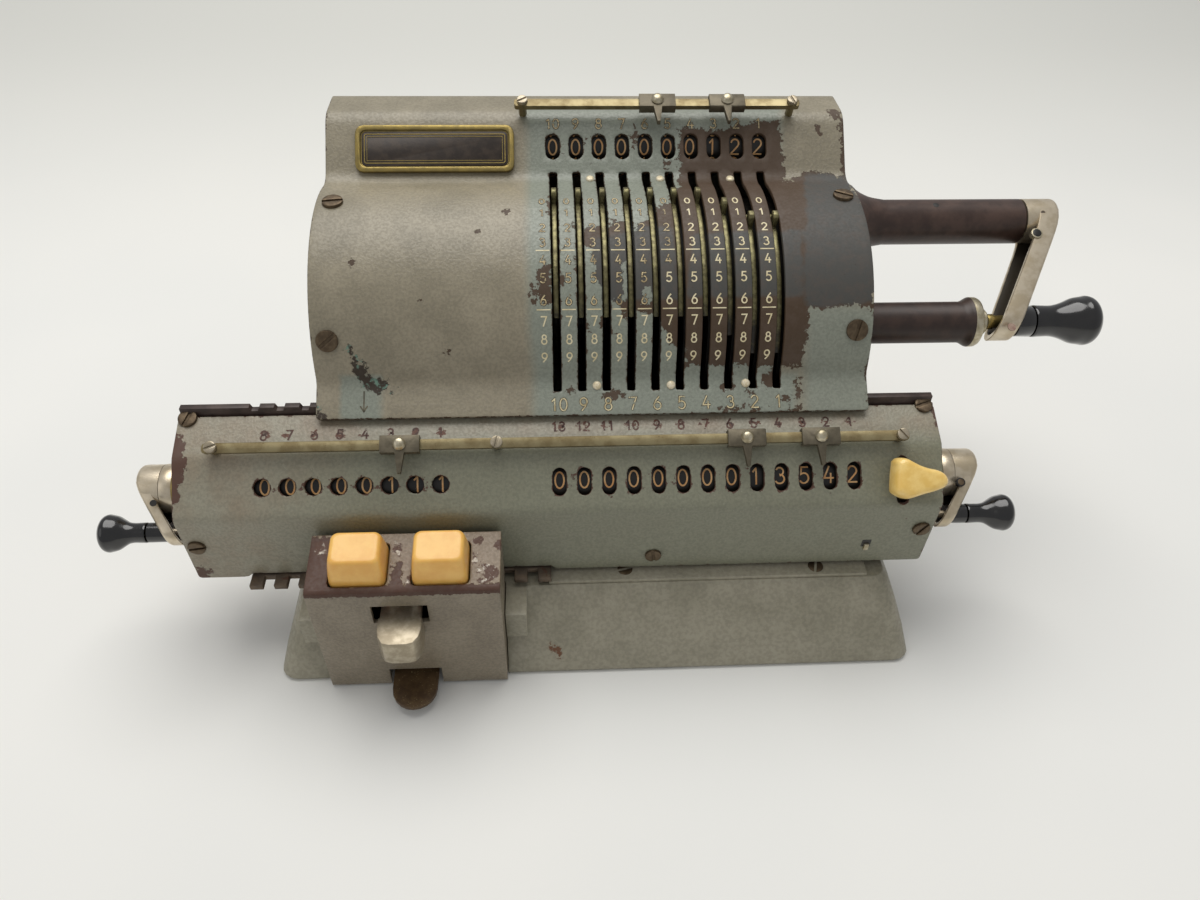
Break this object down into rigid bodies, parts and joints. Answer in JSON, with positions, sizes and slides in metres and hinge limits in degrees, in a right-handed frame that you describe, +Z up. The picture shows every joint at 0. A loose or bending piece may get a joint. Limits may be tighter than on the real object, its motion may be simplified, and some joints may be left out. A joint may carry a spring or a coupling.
{
  "type": "mechanical_calculator",
  "caption": "Hand-cranked pinwheel calculator with setting levers, a sliding carriage with its registers, clearing cranks, shift keys and a right-hand crank",
  "frame": {"origin": "on the table, under the middle of the base", "axes": "+Z up; -Y the operator's side, with the levers and keys; +X towards the crank"},
  "size_m": [0.3147, 0.1644, 0.1414],
  "materials": {
    "enamel_covers": "worn hammered enamel, grey",
    "enamel_base": "worn hammered enamel, grey-green",
    "enamel_box": "worn enamel, grey over brown primer",
    "blank_plate": "pressed brass rim round a bare dark field",
    "tarnished_nickel": "tarnished nickel plate",
    "dark_frame": "dark brown paint, bare in places",
    "steel": "turned steel",
    "brass": "dull brass",
    "black_grip": "gloss black",
    "cream_key": "gloss pale yellow",
    "number_drum": "matt black with ivory figures",
    "rusty_iron": "rusty iron"
  },
  "bodies": {
    "frame": {"base_casting": "enamel_base", "bottom_plate": "dark_frame", "side_frame_left": "enamel_covers", "side_frame_right": "enamel_covers", "pinwheel_cover": "enamel_covers", "rear_cover": "enamel_covers", "nameplate": "blank_plate", "register_marker_bar": "tarnished_nickel", "key_box": "enamel_box", "carriage_guide_rail": "enamel_base", "crank_bearing_tube": "dark_frame", "crank_stop_tube": "dark_frame", "overflow_bell": "brass"},
    "crank_shaft_body": {"crank_shaft": "tarnished_nickel", "crank_arm": "tarnished_nickel"},
    "crank_pin_body": {"crank_locating_pin": "steel"},
    "crank_grip_body": {"crank_grip": "black_grip"},
    "idler_body": {"crank_idler_gear": "steel"},
    "rotor_body": {"pinwheel_rotor": "steel"},
    "transfer_gear_body": {"transfer_gears": "steel"},
    "carriage_body": {"carriage_frame": "dark_frame", "carriage_cover": "enamel_covers", "carriage_marker_bar": "tarnished_nickel", "step_rack": "rusty_iron"},
    "result_dial_body": {"result_dials": "number_drum"},
    "counter_dial_body": {"counter_dials": "number_drum"},
    "clearing_crank_left_body": {"clearing_crank_left": "tarnished_nickel"},
    "clearing_crank_right_body": {"clearing_crank_right": "tarnished_nickel"},
    "clearing_grip_left_body": {"clearing_grip_left": "black_grip"},
    "clearing_grip_right_body": {"clearing_grip_right": "black_grip"},
    "transfer_lever_body": {"transfer_lever": "cream_key"},
    "shift_key_left_body": {"shift_key_left": "cream_key"},
    "shift_key_right_body": {"shift_key_right": "cream_key"},
    "release_thumb_body": {"release_thumb_piece": "tarnished_nickel"},
    "release_tongue_body": {"release_tongue": "rusty_iron"},
    "setting_lever_1_body": {"setting_lever_1": "brass"},
    "setting_dial_1_body": {"setting_dial_1": "number_drum"},
    "setting_lever_2_body": {"setting_lever_2": "brass"},
    "setting_dial_2_body": {"setting_dial_2": "number_drum"},
    "setting_lever_3_body": {"setting_lever_3": "brass"},
    "setting_dial_3_body": {"setting_dial_3": "number_drum"},
    "setting_lever_4_body": {"setting_lever_4": "brass"},
    "setting_dial_4_body": {"setting_dial_4": "number_drum"},
    "setting_lever_5_body": {"setting_lever_5": "brass"},
    "setting_dial_5_body": {"setting_dial_5": "number_drum"},
    "setting_lever_6_body": {"setting_lever_6": "brass"},
    "setting_dial_6_body": {"setting_dial_6": "number_drum"},
    "setting_lever_7_body": {"setting_lever_7": "brass"},
    "setting_dial_7_body": {"setting_dial_7": "number_drum"},
    "setting_lever_8_body": {"setting_lever_8": "brass"},
    "setting_dial_8_body": {"setting_dial_8": "number_drum"},
    "setting_lever_9_body": {"setting_lever_9": "brass"},
    "setting_dial_9_body": {"setting_dial_9": "number_drum"},
    "setting_lever_10_body": {"setting_lever_10": "brass"},
    "setting_dial_10_body": {"setting_dial_10": "number_drum"},
    "register_marker_1_body": {"register_marker_1": "tarnished_nickel"},
    "register_marker_2_body": {"register_marker_2": "tarnished_nickel"},
    "carriage_marker_1_body": {"carriage_marker_1": "tarnished_nickel"},
    "carriage_marker_2_body": {"carriage_marker_2": "tarnished_nickel"},
    "carriage_marker_3_body": {"carriage_marker_3": "tarnished_nickel"}
  },
  "joints": [
    {"name": "crank_turn", "type": "hinge", "parent": "frame", "child": "crank_shaft_body", "pos_m": [0.1, 0.02601, 0.1067], "axis": [1, 0, 0], "continuous": true},
    {"name": "crank_pin_pull", "type": "slide", "parent": "crank_shaft_body", "child": "crank_pin_body", "axis": [1, 0, 0], "range_m": [0, 0.005], "stiffness_N_per_m": 250},
    {"name": "crank_grip_spin", "type": "hinge", "parent": "crank_pin_body", "child": "crank_grip_body", "pos_m": [0.15, -0.00799, 0.09041], "axis": [1, 0, 0], "continuous": true},
    {"name": "idler_turn", "type": "hinge", "parent": "frame", "child": "idler_body", "pos_m": [0.072, 0.02201, 0.09235], "axis": [1, 0, 0], "continuous": true},
    {"name": "rotor_turn", "type": "hinge", "parent": "frame", "child": "rotor_body", "pos_m": [0, 0.018, 0.078], "axis": [1, 0, 0], "continuous": true},
    {"name": "transfer_gears_turn", "type": "hinge", "parent": "frame", "child": "transfer_gear_body", "pos_m": [0, -0.02077, 0.04837], "axis": [1, 0, 0], "continuous": true},
    {"name": "carriage_slide", "type": "slide", "parent": "frame", "child": "carriage_body", "axis": [1, 0, 0], "range_m": [-0.0225, 0.03]},
    {"name": "result_dials_turn", "type": "hinge", "parent": "carriage_body", "child": "result_dial_body", "pos_m": [0.04, -0.03951, 0.05411], "axis": [1, 0, 0], "continuous": true},
    {"name": "counter_dials_turn", "type": "hinge", "parent": "carriage_body", "child": "counter_dial_body", "pos_m": [-0.08, -0.03951, 0.05411], "axis": [1, 0, 0], "continuous": true},
    {"name": "clearing_crank_left_turn", "type": "hinge", "parent": "carriage_body", "child": "clearing_crank_left_body", "pos_m": [-0.135, -0.03951, 0.05411], "axis": [1, 0, 0], "continuous": true},
    {"name": "clearing_crank_right_turn", "type": "hinge", "parent": "carriage_body", "child": "clearing_crank_right_body", "pos_m": [0.115, -0.03951, 0.05411], "axis": [1, 0, 0], "continuous": true},
    {"name": "clearing_grip_left_spin", "type": "hinge", "parent": "clearing_crank_left_body", "child": "clearing_grip_left_body", "pos_m": [-0.145, -0.05184, 0.04791], "axis": [1, 0, 0], "continuous": true},
    {"name": "clearing_grip_right_spin", "type": "hinge", "parent": "clearing_crank_right_body", "child": "clearing_grip_right_body", "pos_m": [0.123, -0.05184, 0.04791], "axis": [1, 0, 0], "continuous": true},
    {"name": "transfer_lever_swing", "type": "hinge", "parent": "carriage_body", "child": "transfer_lever_body", "pos_m": [0.0923, -0.03951, 0.05411], "axis": [1, 0, 0], "range_deg": [0, 20]},
    {"name": "shift_key_left_press", "type": "slide", "parent": "frame", "child": "shift_key_left_body", "axis": [0, 0.1736, -0.9848], "range_m": [0, 0.0035], "stiffness_N_per_m": 250},
    {"name": "shift_key_right_press", "type": "slide", "parent": "frame", "child": "shift_key_right_body", "axis": [0, 0.1736, -0.9848], "range_m": [0, 0.0035], "stiffness_N_per_m": 250},
    {"name": "release_thumb_lift", "type": "hinge", "parent": "frame", "child": "release_thumb_body", "pos_m": [-0.06, -0.0611, 0.0365], "axis": [-1, 0, 0], "range_deg": [0, 8], "stiffness_Nm_per_rad": 0.12},
    {"name": "release_tongue_lift", "type": "hinge", "parent": "frame", "child": "release_tongue_body", "pos_m": [-0.059, -0.0611, 0.0049], "axis": [-1, 0, 0], "range_deg": [0, 6], "stiffness_Nm_per_rad": 0.12},
    {"name": "setting_lever_1_move", "type": "hinge", "parent": "rotor_body", "child": "setting_lever_1_body", "pos_m": [0.055, 0.018, 0.078], "axis": [1, 0, 0], "range_deg": [-16.8, 58.8]},
    {"name": "setting_dial_1_turn", "type": "hinge", "parent": "frame", "child": "setting_dial_1_body", "pos_m": [0.055, 0.05131, 0.12115], "axis": [1, 0, 0], "range_deg": [-252, 72]},
    {"name": "setting_lever_2_move", "type": "hinge", "parent": "rotor_body", "child": "setting_lever_2_body", "pos_m": [0.0475, 0.018, 0.078], "axis": [1, 0, 0], "range_deg": [-16.8, 58.8]},
    {"name": "setting_dial_2_turn", "type": "hinge", "parent": "frame", "child": "setting_dial_2_body", "pos_m": [0.0475, 0.05131, 0.12115], "axis": [1, 0, 0], "range_deg": [-252, 72]},
    {"name": "setting_lever_3_move", "type": "hinge", "parent": "rotor_body", "child": "setting_lever_3_body", "pos_m": [0.04, 0.018, 0.078], "axis": [1, 0, 0], "range_deg": [-8.4, 67.2]},
    {"name": "setting_dial_3_turn", "type": "hinge", "parent": "frame", "child": "setting_dial_3_body", "pos_m": [0.04, 0.05131, 0.12115], "axis": [1, 0, 0], "range_deg": [-288, 36]},
    {"name": "setting_lever_4_move", "type": "hinge", "parent": "rotor_body", "child": "setting_lever_4_body", "pos_m": [0.0325, 0.018, 0.078], "axis": [1, 0, 0], "range_deg": [0, 75.6]},
    {"name": "setting_dial_4_turn", "type": "hinge", "parent": "frame", "child": "setting_dial_4_body", "pos_m": [0.0325, 0.05131, 0.12115], "axis": [1, 0, 0], "range_deg": [-324, 0]},
    {"name": "setting_lever_5_move", "type": "hinge", "parent": "rotor_body", "child": "setting_lever_5_body", "pos_m": [0.025, 0.018, 0.078], "axis": [1, 0, 0], "range_deg": [0, 75.6]},
    {"name": "setting_dial_5_turn", "type": "hinge", "parent": "frame", "child": "setting_dial_5_body", "pos_m": [0.025, 0.05131, 0.12115], "axis": [1, 0, 0], "range_deg": [-324, 0]},
    {"name": "setting_lever_6_move", "type": "hinge", "parent": "rotor_body", "child": "setting_lever_6_body", "pos_m": [0.0175, 0.018, 0.078], "axis": [1, 0, 0], "range_deg": [0, 75.6]},
    {"name": "setting_dial_6_turn", "type": "hinge", "parent": "frame", "child": "setting_dial_6_body", "pos_m": [0.0175, 0.05131, 0.12115], "axis": [1, 0, 0], "range_deg": [-324, 0]},
    {"name": "setting_lever_7_move", "type": "hinge", "parent": "rotor_body", "child": "setting_lever_7_body", "pos_m": [0.01, 0.018, 0.078], "axis": [1, 0, 0], "range_deg": [0, 75.6]},
    {"name": "setting_dial_7_turn", "type": "hinge", "parent": "frame", "child": "setting_dial_7_body", "pos_m": [0.01, 0.05131, 0.12115], "axis": [1, 0, 0], "range_deg": [-324, 0]},
    {"name": "setting_lever_8_move", "type": "hinge", "parent": "rotor_body", "child": "setting_lever_8_body", "pos_m": [0.0025, 0.018, 0.078], "axis": [1, 0, 0], "range_deg": [0, 75.6]},
    {"name": "setting_dial_8_turn", "type": "hinge", "parent": "frame", "child": "setting_dial_8_body", "pos_m": [0.0025, 0.05131, 0.12115], "axis": [1, 0, 0], "range_deg": [-324, 0]},
    {"name": "setting_lever_9_move", "type": "hinge", "parent": "rotor_body", "child": "setting_lever_9_body", "pos_m": [-0.005, 0.018, 0.078], "axis": [1, 0, 0], "range_deg": [0, 75.6]},
    {"name": "setting_dial_9_turn", "type": "hinge", "parent": "frame", "child": "setting_dial_9_body", "pos_m": [-0.005, 0.05131, 0.12115], "axis": [1, 0, 0], "range_deg": [-324, 0]},
    {"name": "setting_lever_10_move", "type": "hinge", "parent": "rotor_body", "child": "setting_lever_10_body", "pos_m": [-0.0125, 0.018, 0.078], "axis": [1, 0, 0], "range_deg": [0, 75.6]},
    {"name": "setting_dial_10_turn", "type": "hinge", "parent": "frame", "child": "setting_dial_10_body", "pos_m": [-0.0125, 0.05131, 0.12115], "axis": [1, 0, 0], "range_deg": [-324, 0]},
    {"name": "register_marker_1_slide", "type": "slide", "parent": "frame", "child": "register_marker_1_body", "axis": [1, 0, 0], "range_m": [-0.015, 0.0045]},
    {"name": "register_marker_2_slide", "type": "slide", "parent": "frame", "child": "register_marker_2_body", "axis": [1, 0, 0], "range_m": [-0.0045, 0.009]},
    {"name": "carriage_marker_1_slide", "type": "slide", "parent": "carriage_body", "child": "carriage_marker_1_body", "axis": [1, 0, 0], "range_m": [-0.03, 0.018]},
    {"name": "carriage_marker_2_slide", "type": "slide", "parent": "carriage_body", "child": "carriage_marker_2_body", "axis": [1, 0, 0], "range_m": [-0.045, 0.0045]},
    {"name": "carriage_marker_3_slide", "type": "slide", "parent": "carriage_body", "child": "carriage_marker_3_body", "axis": [1, 0, 0], "range_m": [-0.0045, 0.012]}
  ],
  "couplings": [
    {"joint": "rotor_turn", "follows": "crank_turn", "ratio": 1},
    {"joint": "idler_turn", "follows": "crank_turn", "ratio": -1.4},
    {"joint": "result_dials_turn", "follows": "clearing_crank_right_turn", "ratio": 1},
    {"joint": "counter_dials_turn", "follows": "clearing_crank_left_turn", "ratio": 1},
    {"joint": "setting_dial_1_turn", "follows": "setting_lever_1_move", "ratio": -4.2857},
    {"joint": "setting_dial_2_turn", "follows": "setting_lever_2_move", "ratio": -4.2857},
    {"joint": "setting_dial_3_turn", "follows": "setting_lever_3_move", "ratio": -4.2857},
    {"joint": "setting_dial_4_turn", "follows": "setting_lever_4_move", "ratio": -4.2857},
    {"joint": "setting_dial_5_turn", "follows": "setting_lever_5_move", "ratio": -4.2857},
    {"joint": "setting_dial_6_turn", "follows": "setting_lever_6_move", "ratio": -4.2857},
    {"joint": "setting_dial_7_turn", "follows": "setting_lever_7_move", "ratio": -4.2857},
    {"joint": "setting_dial_8_turn", "follows": "setting_lever_8_move", "ratio": -4.2857},
    {"joint": "setting_dial_9_turn", "follows": "setting_lever_9_move", "ratio": -4.2857},
    {"joint": "setting_dial_10_turn", "follows": "setting_lever_10_move", "ratio": -4.2857}
  ]
}
